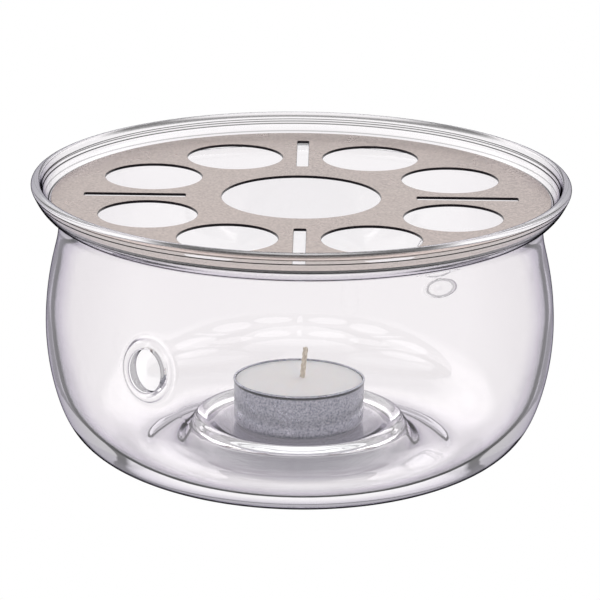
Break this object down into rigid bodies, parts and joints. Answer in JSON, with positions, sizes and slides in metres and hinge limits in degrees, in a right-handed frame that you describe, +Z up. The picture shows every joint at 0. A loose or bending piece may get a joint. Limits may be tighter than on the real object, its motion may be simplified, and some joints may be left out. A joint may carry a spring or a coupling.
{
  "type": "glass tea warmer",
  "caption": "Round open glass bowl with a flared bead rim, a loose perforated steel plate in the rim, side vents and a tealight on a raised seat.",
  "frame": {"origin": "on the bowl's axis at the height of the surface it stands on", "axes": "+Z up along the bowl's axis, -Y towards the front, where the front vent lies 34.3 degrees to the left, +X to the right"},
  "size_m": [0.1538, 0.1538, 0.0826],
  "materials": {
    "glass_body": "clear polished blown glass",
    "warmer_plate": "fine satin",
    "tealight_cup": "rolled foil, slightly speckled",
    "wax": "smooth paraffin wax",
    "wick": "waxed cotton braid",
    "wick_sustainer": "tinned"
  },
  "bodies": {
    "bowl": {"glass_body": "glass_body"},
    "plate": {"warmer_plate": "warmer_plate"},
    "tealight": {"tealight_cup": "tealight_cup"},
    "candle": {"wax": "wax", "wick": "wick", "wick_sustainer": "wick_sustainer"}
  },
  "joints": [
    {"name": "plate_lift", "type": "slide", "parent": "bowl", "child": "plate", "axis": [0, 0, 1], "range_m": [0, 0.06]},
    {"name": "tealight_lift", "type": "slide", "parent": "bowl", "child": "tealight", "axis": [0, 0, 1], "range_m": [0, 0.09]},
    {"name": "candle_lift", "type": "slide", "parent": "tealight", "child": "candle", "axis": [0, 0, 1], "range_m": [0, 0.018]}
  ]
}
